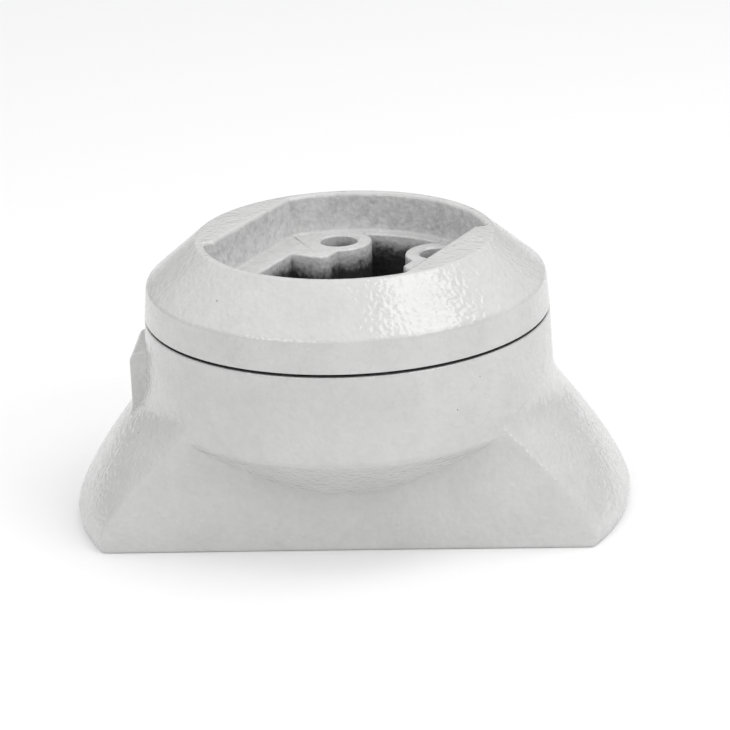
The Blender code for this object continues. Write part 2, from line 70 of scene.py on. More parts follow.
JOINT_Z = cad_span("foot_casting")[1]
HEAD_LOW_Z, TOP_Z = cad_span("swivel_head")
LOCK_Z = 0.5 * sum(cad_span("lock_screw"))
DECK_ACROSS, DECK_ALONG = 64.0, 26.5      # deck sleeves, from the swivel axis
DECK_BOSS = 11.0                          # radius of the metal round each
POCKET = 38.0                             # radius of the retaining plate's pocket


# Sizes -------------------------------------------------------------------------------------


def length(name, text, millimetres):
    """A length property with its default in millimetres, kept in metres."""
    return FloatProperty(name=name, description=text, default=millimetres * MM, min=0.0,
                         precision=5, unit="LENGTH", subtype="DISTANCE")


def share(name, text, value):
    """A property between nought and one."""
    return FloatProperty(name=name, description=text, default=value, min=0.0, max=1.0,
                         subtype="FACTOR")


def colour(name, text, value):
    """A linear colour property."""
    return FloatVectorProperty(name=name, description=text, default=value, min=0.0, max=1.0,
                               size=3, subtype="COLOR")


class FootSizes(bpy.types.PropertyGroup):
    """Sizes of the eared foot."""

    collar_radius: length("Collar radius", "Radius of the collar at the joint", 60.0)
    collar_draft: length("Collar draft", "Growth of the collar's radius down to its edge", 1.2)
    collar_edge: length("Collar edge", "Deck to the collar's lower edge", 33.8)
    undercut_slope: FloatProperty(name="Undercut slope", default=0.87, min=0.1,
                                  description="Drop per unit of radius under the collar")
    ear_reach: length("Ear reach", "How far the ears stand out past the collar", 23.3)
    belly: length("Belly", "Deck to the widest point of the ears", 3.6)
    shoulder: length("Shoulder", "Deck to the height where the ears end", 40.0)
    half_width: length("Half width", "Swivel axis to each flat side", 42.0)
    wall: length("Wall", "Thickness of the ears' shell", 6.0)
    ridge_round: length("Ridge rounding", "Rounding where ear and flat side meet", 1.3)
    ear_fillet: length("Ear fillet", "Soft fillet between collar and ears", 3.4)
    edge_round: length("Edge rounding", "Rounding of the collar's top edge", 0.5)
    lock_face: length("Lock boss face", "Swivel axis to the lock boss's face", 64.4)
    lock_half: length("Lock boss half width", "Half width of the lock boss", 11.0)
    lock_rise: length("Lock boss rise", "Lock screw's axis to the top of its boss", 8.0)
    lock_round: length("Lock boss rounding", "Rounding of the boss's top edge", 3.4)
    columns: IntProperty(name="Columns", default=448, min=64, max=600,
                         description="Points round the foot")


class HeadSizes(bpy.types.PropertyGroup):
    """Sizes of the coned head."""

    radius: length("Radius", "Radius of the upright band", 60.0)
    band_draft: length("Band draft", "Loss of radius up the band", 0.9)
    band: length("Band", "Joint face to the band's top", 10.4)
    top_radius: length("Top radius", "Radius of the flat top", 44.0)
    recess_radius: length("Recess radius", "Round ends of the recess", 41.4)
    recess_flat: length("Recess flat", "Swivel axis to each flat of the recess", 32.4)
    relief_proud: length("Relief depth", "Relief past the flat, at one end of each flat", 2.3)
    relief_start: length("Relief start", "Swivel axis to the relief, along the flat", 20.1)
    ledge: length("Ledge", "Joint face to the ledge", 10.8)
    well_depth: length("Well depth", "Ledge to the floor of the well", 30.0)
    well_radius: length("Well radius", "Round ends of the well", 38.6)
    waist: length("Waist", "Half width of the well between its bosses", 12.6)
    pocket_width: length("Pocket width", "Half width of the side pockets", 24.3)
    pocket_length: length("Pocket length", "Half length of the side pockets", 10.8)
    boss_across: length("Boss across", "Bolt from the axis, across the flats", 16.9)
    boss_along: length("Boss along", "Bolt from the axis, along the flats", 27.6)
    boss_radius: length("Boss radius", "Metal round each bolt", 10.0)
    bolt_radius: length("Bolt hole", "Radius of each bolt hole", 5.7)
    bolt_depth: length("Bolt hole depth", "Ledge to the bottom of each bolt hole", 24.0)
    rim_round: length("Rim rounding", "Rounding of the recess's rim", 1.3)
    edge_round: length("Edge rounding", "Rounding between band and cone", 2.2)
    turn: FloatProperty(name="Turn", default=math.radians(65.4), subtype="ANGLE", unit="ROTATION",
                        description="Angle from the ears to the recess's flats")


class CoatFinish(bpy.types.PropertyGroup):
    """Look of the powder coat."""

    tint: colour("Tint", "Colour of the coat", (0.560, 0.560, 0.556))
    # Tint of the mottled thin coat inside the recess, set lighter than the outside coat as painted light
    # against the recess's shade; scaled near black it is also the painted shade deep in the well.
    recess_coat_light_and_shade_tint: colour("Inner tint", "Colour of the thin coat inside the recess",
                       (0.600, 0.602, 0.600))
    peel_size: length("Peel size", "Width of the orange peel's bumps", 1.35)
    peel_depth: length("Peel depth", "Height of the orange peel's bumps", 0.25)
    roughness: share("Roughness", "Mean roughness of the coat", 0.13)
    mottling: share("Mottling", "Strength of the cloudy variation", 0.13)
    speck: colour("Specks", "Colour of the dark specks", (0.16, 0.15, 0.14))


class SmallParts(bpy.types.PropertyGroup):
    """Colours and threads of the small pieces."""

    steel: colour("Steel", "Colour of the stainless steel", (0.62, 0.62, 0.60))
    brass: colour("Brass", "Colour of the lock pad", (0.72, 0.53, 0.26))
    rubber: colour("Rubber", "Colour of the seals", (0.012, 0.012, 0.013))
    acetal: colour("Acetal", "Colour of the bush and the washers", (0.80, 0.79, 0.74))
    deck_pitch: length("Deck thread pitch", "Pitch of the deck sleeves' thread", 1.5)
    bolt_pitch: length("Bolt thread pitch", "Pitch of the stanchion sleeves' thread", 1.25)
    lock_pitch: length("Lock thread pitch", "Pitch of the lock screw's thread", 1.25)


class StageSizes(bpy.types.PropertyGroup):
    """Floor, lights and camera."""

    floor_tint: colour("Floor", "Colour of the floor", (0.80, 0.80, 0.80))
    sky: FloatProperty(name="Sky", default=1.06, min=0.0,
                       description="Strength of the white surround")
    key_power: FloatProperty(name="Key", default=1.65, min=0.0, unit="POWER",
                             description="Power of the softbox overhead")
    side_power: FloatProperty(name="Sides", default=3.3, min=0.0, unit="POWER",
                              description="Power of each softbox at the side")
    distance: length("Distance", "Camera to the middle of the joint", 840.0)
    elevation: FloatProperty(name="Elevation", default=math.radians(18.92), subtype="ANGLE",
                             unit="ROTATION", description="Camera above the joint")
    azimuth: FloatProperty(name="Azimuth", default=math.radians(3.94), subtype="ANGLE",
                           unit="ROTATION", description="Camera round from the flat side")
    lens: FloatProperty(name="Lens", default=139.66, min=1.0, unit="CAMERA",
                        description="Focal length in millimetres")


# Surfaces ----------------------------------------------------------------------------------


def soft_max(first, second, width):
    """Larger of two values, blended by a parabola where they lie within a width of each other."""
    weight = np.clip(0.5 + 0.5 * (first - second) / width, 0.0, 1.0)
    return second + (first - second) * weight + width * weight * (1.0 - weight)


def soft_min(first, second, width):
    """Smaller of two values, blended the same way."""
    return -soft_max(-first, -second, width)


def smooth_step(low, high, value):
    """Cubic rise from 0 at low to 1 at high."""
    part = np.clip((value - low) / (high - low), 0.0, 1.0)
    return part * part * (3.0 - 2.0 * part)


def rounded(points, radii, steps=6):
    """Polyline through (radius, height) points, with each corner replaced by an arc of its radius.

    The arc is drawn as the quadratic curve whose ends lie one tangent length from the corner.
    """
    points = np.asarray(points, float)
    path = [points[0]]
    part = np.linspace(0.0, 1.0, steps + 1)[:, None]
    for corner, radius, before, after in zip(points[1:-1], radii, points[:-2], points[2:]):
        inward = (before - corner) / np.linalg.norm(before - corner)
        outward = (after - corner) / np.linalg.norm(after - corner)
        half = 0.5 * math.acos(float(np.clip(np.dot(inward, outward), -1.0, 1.0)))
        reach = radius / math.tan(half) if radius > 0.0 else 0.0
        shorter = min(np.linalg.norm(before - corner), np.linalg.norm(after - corner))
        reach = min(reach, 0.48 * shorter)
        if reach < 1e-6:
            path.append(corner)
            continue
        start, end = corner + inward * reach, corner + outward * reach
        weight = math.sin(half)
        share_in = (1.0 - part) ** 2
        share_mid = 2.0 * weight * part * (1.0 - part)
        share_out = part ** 2
        arc = (share_in * start + share_mid * corner + share_out * end)
        path.extend(arc / (share_in + share_mid + share_out))
    path.append(points[-1])
    return np.array(path)


def signed_volume(grid_points, faces):
    """Six times the volume inside quads, each split into two triangles."""
    a, b, c, d = (grid_points[faces[:, i]] for i in range(4))
    first = np.einsum("ij,ij->i", a, np.cross(b, c))
    second = np.einsum("ij,ij->i", a, np.cross(c, d))
    return float(first.sum() + second.sum())


def ring_surface(rings, open_ends=False):
    """Closed surface over a grid of rings: point (i, j) is joined to its next row and next column.

    Columns are counted round. Rows are too, unless the ends are open, and then each end
    ring is closed by strips that join its two halves across.
    """
    rows, columns = rings.shape[:2]
    index = np.arange(rows * columns).reshape(rows, columns)
    down = np.roll(index, -1, axis=0)
    faces = np.stack([index, down, np.roll(down, -1, axis=1), np.roll(index, -1, axis=1)], axis=-1)
    if open_ends:
        half = np.arange(columns // 2 - 1)
        strip = np.stack([half, half + 1, columns - 2 - half, columns - 1 - half], axis=-1)
        last = (rows - 1) * columns
        faces = np.concatenate([faces[:-1].reshape(-1, 4), strip, last + strip[:, ::-1]])
    faces = faces.reshape(-1, 4)
    points = rings.reshape(-1, 3)
    if signed_volume(points, faces) < 0.0:
        faces = faces[:, ::-1]
    return points, faces


def make_piece(name, points, faces, finish, sharp=32.0):
    """Put points in millimetres and quads into a new mesh object, smooth but for its sharp edges."""
    mesh = bpy.data.meshes.new(name)
    mesh.vertices.add(len(points))
    mesh.vertices.foreach_set("co", (points * MM).astype(np.float32).ravel())
    mesh.loops.add(faces.size)
    mesh.loops.foreach_set("vertex_index", faces.astype(np.int32).ravel())
    mesh.polygons.add(len(faces))
    mesh.polygons.foreach_set("loop_start", np.arange(0, faces.size, 4, dtype=np.int32))
    mesh.update(calc_edges=True)
    mesh.validate()
    mesh.polygons.foreach_set("use_smooth", np.ones(len(mesh.polygons), bool))
    mesh.set_sharp_from_angle(angle=math.radians(sharp))
    if finish is not None:
        mesh.materials.append(finish)
    piece = bpy.data.objects.new(name, mesh)
    bpy.context.scene.collection.objects.link(piece)
    return piece


def turned(profile, columns=96):
    """Rings of a closed outline of (radius, height) turned about Z, where x = r cos a, y = r sin a."""
    angle = np.arange(columns) * (2.0 * math.pi / columns)
    radius, height = profile[:, 0:1], profile[:, 1:2]
    return np.stack([radius * np.cos(angle), radius * np.sin(angle),
                     np.broadcast_to(height, (len(profile), columns))], axis=-1)


def closed_outline(points, radii, steps=5):
    """A closed outline with rounded corners: the first point is met again at the end."""
    middle = 0.5 * (np.asarray(points[-1], float) + np.asarray(points[0], float))
    line = [tuple(middle)] + [tuple(p) for p in points] + [tuple(middle)]
    return rounded(line, radii, steps)[:-1]


def turned_piece(name, points, radii, finish, columns=96, steps=5):
    """A turned ring from a closed outline with its corners rounded."""
    grid = turned(closed_outline(points, radii, steps), columns)
    return make_piece(name, *ring_surface(grid), finish)


def turned_bar(name, profile, columns, finish=None, turn=None):
    """A solid turned from an open outline whose two ends are flat faces, then moved."""
    grid = turned(np.asarray(profile, float), columns)
    made = make_piece(name, *ring_surface(grid, open_ends=True), finish)
    if turn is not None:
        made.data.transform(turn)
    return made


def hexagon_bar(name, across, low, high, turn):
    """A hexagonal form between two heights, then moved."""
    corner = across / math.sqrt(3.0)
    return turned_bar(name, [(corner, low), (corner, high)], 6, None, turn)


def shift(x, y, z=0.0):
    """A move in millimetres, as a matrix in metres."""
    return Matrix.Translation((x * MM, y * MM, z * MM))


def lock_turn():
    """Lays a form turned about Z along -X, at the height of the lock screw."""
    return Matrix.Translation((0.0, 0.0, LOCK_Z * MM)) @ Matrix.Rotation(-0.5 * math.pi, 4, "Y")


def cut(piece, cutters):
    """Cut closed forms out of a closed piece, and remove the forms."""
    group = bpy.data.collections.new("cutters")
    for form in cutters:
        group.objects.link(form)
    step = piece.modifiers.new("cuts", "BOOLEAN")
    step.operation = "DIFFERENCE"
    step.operand_type = "COLLECTION"
    step.collection = group
    step.solver = "MANIFOLD"
    graph = bpy.context.evaluated_depsgraph_get()
    graph.update()
    mesh = bpy.data.meshes.new_from_object(piece.evaluated_get(graph))
    if len(mesh.polygons) < 100:
        raise RuntimeError(f"the cuts in {piece.name} left nothing")
    piece.modifiers.clear()
    old = piece.data
    piece.data = mesh
    bpy.data.meshes.remove(old)
    for form in list(cutters):
        bpy.data.objects.remove(form)
    bpy.data.collections.remove(group)
    mesh.polygons.foreach_set("use_smooth", np.ones(len(mesh.polygons), bool))
    mesh.set_sharp_from_angle(angle=math.radians(32.0))
    return piece


def seat(piece, body, slot, *nodes):
    """Say which body a piece rides on and hide the CAD nodes it stands for. Its slot, where its finish
    would come from, is not used.
    """
    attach(piece, body)
    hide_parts(*nodes)
    return piece


# Materials ---------------------------------------------------------------------------------


class Signal:
    """One socket of a material, with arithmetic that adds Math nodes."""

    def __init__(self, sheet, socket):
        self.sheet = sheet
        self.socket = socket

    def maths(self, operation, *others):
        """A Math node of this signal and others, numbers or signals."""
        values = {place: value for place, value in enumerate((self, *others))}
        return self.sheet.node("ShaderNodeMath", {"operation": operation}, values)

    def __add__(self, other):
        return self.maths("ADD", other)

    def __sub__(self, other):
        return self.maths("SUBTRACT", other)

    def __mul__(self, other):
        return self.maths("MULTIPLY", other)

    __radd__ = __add__
    __rmul__ = __mul__

    def __rsub__(self, other):
        return (self * -1.0) + other

    def __lt__(self, other):
        return self.maths("LESS_THAN", other)

    def __gt__(self, other):
        return self.maths("GREATER_THAN", other)

    def ramp(self, low, high):
        """Smooth rise from 0 at low to 1 at high."""
        values = {0: self, 1: low, 2: high, 3: 0.0, 4: 1.0}
        settings = {"interpolation_type": "SMOOTHSTEP"}
        return self.sheet.node("ShaderNodeMapRange", settings, values)


class Sheet:
    """A material's node tree, whose one method adds any node."""

    def __init__(self, name):
        self.material = bpy.data.materials.new(name)
        self.material.use_nodes = True
        self.tree = self.material.node_tree
        self.shader = self.tree.nodes["Principled BSDF"]
        coordinates = self.tree.nodes.new("ShaderNodeTexCoord")
        self.place = Signal(self, coordinates.outputs["Object"])

    def node(self, kind, settings=None, values=None, output=0):
        """Add a node of a type, with its settings first, then its sockets' values or links."""
        made = self.tree.nodes.new(kind)
        for key, value in (settings or {}).items():
            setattr(made, key, value)
        for key, value in (values or {}).items():
            self.feed(made.inputs[key], value)
        return Signal(self, made.outputs[output])

    def feed(self, socket, value):
        """Link a signal to a socket, or set its number."""
        if isinstance(value, Signal):
            self.tree.links.new(value.socket, socket)
        else:
            socket.default_value = value

    def noise(self, size, detail=2.0, roughness=0.5):
        """Noise whose features are a size across, in metres."""
        values = {"Vector": self.place, "Scale": 1.0 / size, "Detail": detail, "Roughness": roughness}
        return self.node("ShaderNodeTexNoise", None, values)

    def blend(self, mask, first, second):
        """Colour that goes from first to second as the mask goes from 0 to 1."""
        values = {0: mask, 6: first, 7: second}
        return self.node("ShaderNodeMix", {"data_type": "RGBA"}, values, 2)

    def axes(self):
        """The three coordinates as numbers."""
        split = self.node("ShaderNodeSeparateXYZ", None, {0: self.place})
        node = split.socket.node
        return [Signal(self, socket) for socket in node.outputs]

    def bump(self, height, depth):
        """A normal from a height, with depth in metres."""
        return self.node("ShaderNodeBump", None, {"Strength": 1.0, "Distance": depth, "Height": height})

    def finish(self, settings, varying):
        """Set the shader's own numbers, then link what varies over the surface."""
        for key, value in settings.items():
            self.shader.inputs[key].default_value = value
        for key, value in varying.items():
            self.feed(self.shader.inputs[key], value)
        return self.material


def rgba(tint, factor=1.0):
    """Four numbers of a colour, scaled."""
    return tuple(min(1.0, factor * part) for part in tint) + (1.0,)


def flat_distance(sheet):
    """Distance from the swivel axis."""
    x, y, _ = sheet.axes()
    return (x * x + y * y).maths("SQRT")


def powder_coat(name, sizes, recess=None):
    """Glossy off-white coat: orange peel, cloudy tint, a mottled thin film in a recess painted lighter than
    the outside coat as painted light against its shade, painted near-black shade deep in the well, dark
    specks.

    recess holds the radius and height below which the film is thin, the height of the ledge, and the height
    below which the well is painted near black as painted shade.
    """
    sheet = Sheet(name)
    size = sizes.peel_size
    cells = sheet.node("ShaderNodeTexVoronoi", {"feature": "SMOOTH_F1"},
                       {"Vector": sheet.place, "Scale": 1.0 / size, "Smoothness": 0.9, "Randomness": 1.0})
    peel = sheet.noise(1.15 * size, 1.0, 0.4)
    swell = sheet.noise(5.0 * size, 1.0)
    height = (1.0 - cells) * 0.5 + peel * 0.9 + swell * 0.7
    cloud = sheet.noise(0.016, 3.0, 0.6)
    film = sheet.noise(0.0030, 3.0, 0.65)
    streak = sheet.noise(0.0014, 1.0, 0.5)
    shade = cloud.ramp(0.30, 0.72) * 0.6 + film.ramp(0.35, 0.70) * 0.4
    base = sheet.blend(shade * sizes.mottling * 2.0, rgba(sizes.tint, 1.04), rgba(sizes.tint, 0.62))
    rough = sizes.roughness + (film - 0.5) * 0.10 + (cloud - 0.5) * 0.07
    if recess is not None:
        radius, top, ledge, well = recess
        _, _, z = sheet.axes()
        distance = flat_distance(sheet)
        inside = 1.0 - distance.ramp(radius, radius + 0.0006)
        inside = inside * (1.0 - z.ramp(top - 0.0016, top - 0.0002))
        patches = film.ramp(0.36, 0.68) * 0.55 + streak.ramp(0.42, 0.66) * 0.30
        # The mottled thin coat on the recess walls, with its tint lighter than the outside coat: painted
        # light against the recess's shade.
        wall = sheet.blend(patches, rgba(sizes.recess_coat_light_and_shade_tint, 1.12), rgba(sizes.recess_coat_light_and_shade_tint, 0.74))
        sill = z.ramp(ledge - 0.0014, ledge - 0.0001) * (1.0 - z.ramp(ledge + 0.0003, ledge + 0.0016))
        wall = sheet.blend(sill * 0.75, wall, base)
        # Painted shade: the well's walls go near black from the ledge down, along a ragged line, where the
        # deep well is in shade.
        ragged_shade_height = z + (film - 0.5) * 0.006 + (streak - 0.5) * 0.004 + (cloud - 0.5) * 0.005
        well_painted_shade = inside * (1.0 - ragged_shade_height.ramp(well + 0.0010, ledge - 0.0004)) * (z < ledge - 0.0004)
        wall = sheet.blend(well_painted_shade * 0.97, wall, rgba(sizes.recess_coat_light_and_shade_tint, 0.025))
        base = sheet.blend(inside, base, wall)
        rough = rough + inside * 0.20
    dots = sheet.node("ShaderNodeTexVoronoi", {"feature": "F1"},
                      {"Vector": sheet.place, "Scale": 150.0, "Randomness": 1.0})
    chance = Signal(sheet, dots.socket.node.outputs["Color"])
    picked = sheet.node("ShaderNodeSeparateColor", None, {0: chance})
    speck = (1.0 - dots.ramp(0.030, 0.055)) * (picked > 0.86)
    base = sheet.blend(speck * 0.8, base, rgba(sizes.speck))
    settings = {"Metallic": 0.0, "IOR": 1.55, "Specular IOR Level": 0.6}
    height = height - speck * 0.4
    varying = {"Base Color": base, "Roughness": rough, "Normal": sheet.bump(height, sizes.peel_depth)}
    return sheet.finish(settings, varying)


def rubber_finish(tint):
    """Matt black moulded rubber with a fine grain."""
    sheet = Sheet("seal_rubber_black")
    grain = sheet.noise(0.0004, 3.0, 0.6)
    dust = sheet.noise(0.006, 2.0)
    base = sheet.blend(dust.ramp(0.45, 0.75) * 0.5, rgba(tint), rgba((0.045, 0.045, 0.046)))
    varying = {"Base Color": base, "Roughness": 0.62 + (grain - 0.5) * 0.3,
               "Normal": sheet.bump(grain, 0.00005)}
    return sheet.finish({"Specular IOR Level": 0.4}, varying)


def turned_finish(name, tint, metallic, roughness, pitch, centre=(0.0, 0.0), axis="Z", hue=0.06):
    """Turned metal or plastic: fine grooves round an axis, in the distance from it and along it."""
    sheet = Sheet(name)
    x, y, z = sheet.axes()
    first, second, third = (y, z, x) if axis == "X" else (x, y, z)
    first, second = first - centre[0], second - centre[1]
    reach = (first * first + second * second).maths("SQRT")
    wobble = sheet.noise(0.003, 2.0)
    phase = (reach + third) * (2.0 * math.pi / pitch) + wobble * 2.5
    groove = phase.maths("SINE")
    fine = sheet.noise(0.00045, 2.0, 0.6)
    cloud = sheet.noise(0.007, 3.0, 0.6)
    base = sheet.blend(cloud.ramp(0.3, 0.7), rgba(tint, 1.0 + hue), rgba(tint, 1.0 - 2.0 * hue))
    varying = {"Base Color": base, "Roughness": roughness + (fine - 0.5) * 0.18 + (cloud - 0.5) * 0.12,
               "Normal": sheet.bump(groove * 0.5 + fine * 0.6, 0.000012)}
    return sheet.finish({"Metallic": metallic}, varying)


# Foot --------------------------------------------------------------------------------------


def ear_radius(height, sizes):
    """Radius of the ears at a height: the collar's radius plus the reach times (1 - t^1.3)^1.08.

    t is the share of the way from the belly to the shoulder. Below the belly the edge turns in,
    and above the shoulder the last slope goes on.
    """
    share_up = np.clip((height - sizes["belly"]) / (sizes["shoulder"] - sizes["belly"]), 0.0, 1.0)
    reach = sizes["ear_reach"] * (1.0 - share_up ** 1.3) ** 1.08
    below = np.clip(sizes["belly"] - height, 0.0, None) * 0.17
    above = np.clip(height - sizes["shoulder"], 0.0, None) * 0.85
    return sizes["collar_radius"] + reach - below - above


def foot_columns(count):
    """Angles round the foot, close together where ridges, deck bosses and the lock boss lie.

    The angles are read off the running total of a density along the turn, so equal shares of
    the density get equal numbers of columns.
    """
    angle = np.linspace(0.0, 2.0 * math.pi, 7201)
    quarter = np.degrees(np.arccos(np.abs(np.cos(angle))))
    density = 0.55 + 3.2 * np.exp(-((quarter - 37.5) / 8.5) ** 2)
    density += 1.4 * np.exp(-((quarter - 13.6) / 1.6) ** 2) + 1.2 * np.exp(-((quarter - 31.2) / 1.6) ** 2)
    behind = np.degrees(np.arccos(-np.cos(angle)))
    density += 2.4 * np.exp(-((behind - 9.6) / 3.5) ** 2) + 0.6 * (behind < 14.0)
    total = np.concatenate([[0.0], np.cumsum(0.5 * (density[1:] + density[:-1]))])
    picks = (np.arange(count) + 0.5) / count * total[-1]
    return np.interp(picks, total, angle)


def foot_outside(angle, height, sizes):
    """Radius of the foot's outside at an angle and a height.

    The larger of the collar with its conical underside and the ears cut by two flat sides,
    with the lock boss on -X as a third form. Each choice between two forms is blended.
    """
    top, edge = JOINT_Z, sizes["collar_edge"]
    upper = sizes["collar_radius"] + sizes["collar_draft"] * (top - height) / (top - edge)
    widest = sizes["collar_radius"] + sizes["collar_draft"]
    collar = soft_min(upper, widest - (edge - height) / sizes["undercut_slope"], 1.5)
    side = np.abs(np.sin(angle))
    flats = sizes["half_width"] / np.maximum(side, 1e-3)
    ears = soft_min(ear_radius(height, sizes), flats, sizes["ridge_round"])
    fillet = 1.6 + (sizes["ear_fillet"] - 1.6) * (1.0 - smooth_step(0.60, 0.74, side))
    body = soft_max(collar, ears, fillet)
    off_axis = np.abs(np.arctan2(np.sin(angle), -np.cos(angle)))
    bend, rise = sizes["lock_round"], sizes["lock_rise"]
    cap = np.clip(height - (LOCK_Z + rise - bend), 0.0, bend)
    front = sizes["lock_face"] - bend + np.sqrt(bend ** 2 - cap ** 2)
    facing = np.clip(np.cos(off_axis), 0.05, 1.0)
    boss = soft_min(front / facing, sizes["lock_half"] / np.maximum(np.sin(off_axis), 1e-3), 2.8)
    boss = np.where((off_axis < 0.9) & (height < LOCK_Z + rise), boss, 40.0)
    return soft_max(body, boss, 1.8)


def foot_hollow(angle, height, sizes):
    """Radius of the hollow's side wall: inside the ears and flats, outside the pocket, before the bosses.

    A deck boss is met at c cos d - sqrt(r^2 - c^2 sin^2 d), where c is its distance from the
    axis, r its radius and d the angle between it and the ray.
    """
    wall = sizes["wall"]
    lifted = height + 0.87 * wall * np.clip(height / 40.0, 0.0, 1.0)
    inner = ear_radius(lifted, sizes) - wall
    side = np.maximum(np.abs(np.sin(angle)), 1e-3)
    radius = np.maximum(soft_min(inner, (sizes["half_width"] - wall) / side, 2.0), POCKET + 0.4)
    centre = math.hypot(DECK_ACROSS, DECK_ALONG)
    quarter = np.arccos(np.abs(np.cos(angle)))
    off = quarter - math.atan2(DECK_ALONG, DECK_ACROSS)
    room = DECK_BOSS ** 2 - (centre * np.sin(off)) ** 2
    near = centre * np.cos(off) - np.sqrt(np.clip(room, 0.0, None))
    return np.where(room > 0.0, np.minimum(radius, near), radius)


def foot_heights():
    """Heights down the foot's outside, close together at the collar's edges and the boss's top."""
    parts = [(JOINT_Z - 0.9, 50.6, 9), (50.6, 45.8, 22), (45.8, 36.6, 12), (36.6, 31.0, 26),
             (31.0, 14.0, 30), (14.0, 5.0, 12), (5.0, 0.8, 7)]
    runs = [np.linspace(high, low, count, endpoint=False) for high, low, count in parts]
    return np.concatenate(runs + [np.array([0.8])])


def foot_rings(sizes):
    """All rings of the foot: outside down, underside in, hollow up, ceiling in, bores up, top out."""
    angle = foot_columns(sizes["columns"])
    heights = foot_heights()
    rings = []
    top_radius = foot_outside(angle, np.full_like(angle, JOINT_Z), sizes)
    edge = sizes["edge_round"]
    for turn in np.linspace(0.0, 0.5 * math.pi, 7)[:-1]:
        lift, drop = edge * math.sin(turn), edge * (1.0 - math.cos(turn))
        rings.append((top_radius - edge + lift, JOINT_Z - drop))
    for height in heights:
        rings.append((foot_outside(angle, np.full_like(angle, height), sizes), height))
    low_radius = rings[-1][0]
    for turn in np.linspace(0.0, 0.5 * math.pi, 5)[1:]:
        rings.append((low_radius - 0.8 * (1.0 - math.cos(turn)), 0.8 * (1.0 - math.sin(turn))))
    rim = rings[-1][0]
    inner = foot_hollow(angle, np.zeros_like(angle), sizes)
    for part in (0.4, 0.85):
        rings.append((rim + (inner + 0.5 - rim) * part, 0.0))
    rings.append((inner + 0.5, 0.0))
    for height in np.concatenate([[0.4], np.linspace(1.6, 20.6, 12), [21.6, 22.3, 22.7]]):
        wall = foot_hollow(angle, np.full_like(angle, height), sizes)
        wall = wall - 2.0 * np.clip((height - 20.9) / 2.0, 0.0, 1.0) ** 2
        rings.append((np.maximum(wall, POCKET + 0.3), height))
    ceiling = rings[-1][0]
    for part in (0.1, 0.5, 0.92):
        rings.append((ceiling + (POCKET - ceiling) * part, 22.9))
    bores = [(POCKET, 22.9), (POCKET, 23.9), (31.3, 23.9), (31.3, 27.65), (33.2, 27.65), (33.2, 30.15),
             (31.3, 30.15), (31.3, 33.9), (48.2, 33.9), (48.2, 48.0), (51.3, 48.0), (51.3, 60.0),
             (54.2, 60.0), (54.2, 57.3), (56.8, 57.3), (56.8, 60.0), (58.4, 60.0)]
    radii = [0.3, 0.4, 0.2, 0.2, 0.2, 0.2, 0.3, 0.5, 0.4, 0.4, 0.6, 0.3, 0.3, 0.3, 0.3]
    for radius, height in rounded(bores, radii, 3):
        rings.append((np.full_like(angle, radius), height))
    radius = np.stack([ring[0] for ring in rings])
    height = np.array([ring[1] for ring in rings])[:, None]
    return np.stack([radius * np.cos(angle), radius * np.sin(angle),
                     np.broadcast_to(height, radius.shape)], axis=-1)


def sizes_in_mm(group):
    """A property group's lengths in millimetres, its other numbers as they are."""
    made = {}
    for key in group.bl_rna.properties.keys():
        if key in ("rna_type", "name"):
            continue
        value = getattr(group, key)
        is_length = getattr(group.bl_rna.properties[key], "unit", "NONE") == "LENGTH"
        made[key] = value / MM if is_length else value
    return made


class STANCHION_OT_foot(bpy.types.Operator):
    """Build the eared foot"""

    bl_idname = "stanchion.foot"
    bl_label = "Eared foot"

    def execute(self, context):
        sizes = sizes_in_mm(context.scene.stanchion_foot)
        coat = powder_coat("foot_powder_coat", context.scene.stanchion_coat)
        foot = make_piece("foot_body", *ring_surface(foot_rings(sizes)), coat)
        level = lock_turn()
        face = sizes["lock_face"]
        hole = [(4.3, 45.0), (4.3, face - 0.4), (4.7, face), (4.7, face + 6.0)]
        forms = [turned_bar("lock_hole", hole, 64, None, level)]
        bore = [(7.6, -4.0), (7.6, 0.0), (7.0, 0.6), (7.0, 16.0), (6.4, 16.3)]
        for index, (x, y) in enumerate(places_of("deck_bolt_insert"), start=1):
            forms.append(turned_bar(f"deck_hole_{index}", bore, 64, None, shift(x, y)))
        cut(foot, forms)
        seat(foot, "foot", "foot_coat", "foot_casting")
        return {"FINISHED"}


def places_of(node):
    """Centres of the four pieces of a numbered node, from the frame, in millimetres."""
    boxes = [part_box(f"{node}_{index}") for index in range(1, 5)]
    return [(0.5 * (low.x + high.x) / MM, 0.5 * (low.y + high.y) / MM) for low, high in boxes]


# Head --------------------------------------------------------------------------------------


LEGS = (10, 10, 6, 8, 44, 16)


def line_leg(start, end, count):
    """Points on a straight leg, without its end."""
    part = np.linspace(0.0, 1.0, count, endpoint=False)[:, None]
    return (1.0 - part) * np.asarray(start, float) + part * np.asarray(end, float)


def arc_leg(centre, radius, first, last, count):
    """Points on an arc between two angles in degrees, without its end."""
    angle = np.radians(np.linspace(first, last, count, endpoint=False))
    return np.stack([centre[0] + radius * np.cos(angle), centre[1] + radius * np.sin(angle)], axis=-1)


def polar(point):
    """Angle of a point in degrees."""
    return math.degrees(math.atan2(point[1], point[0]))


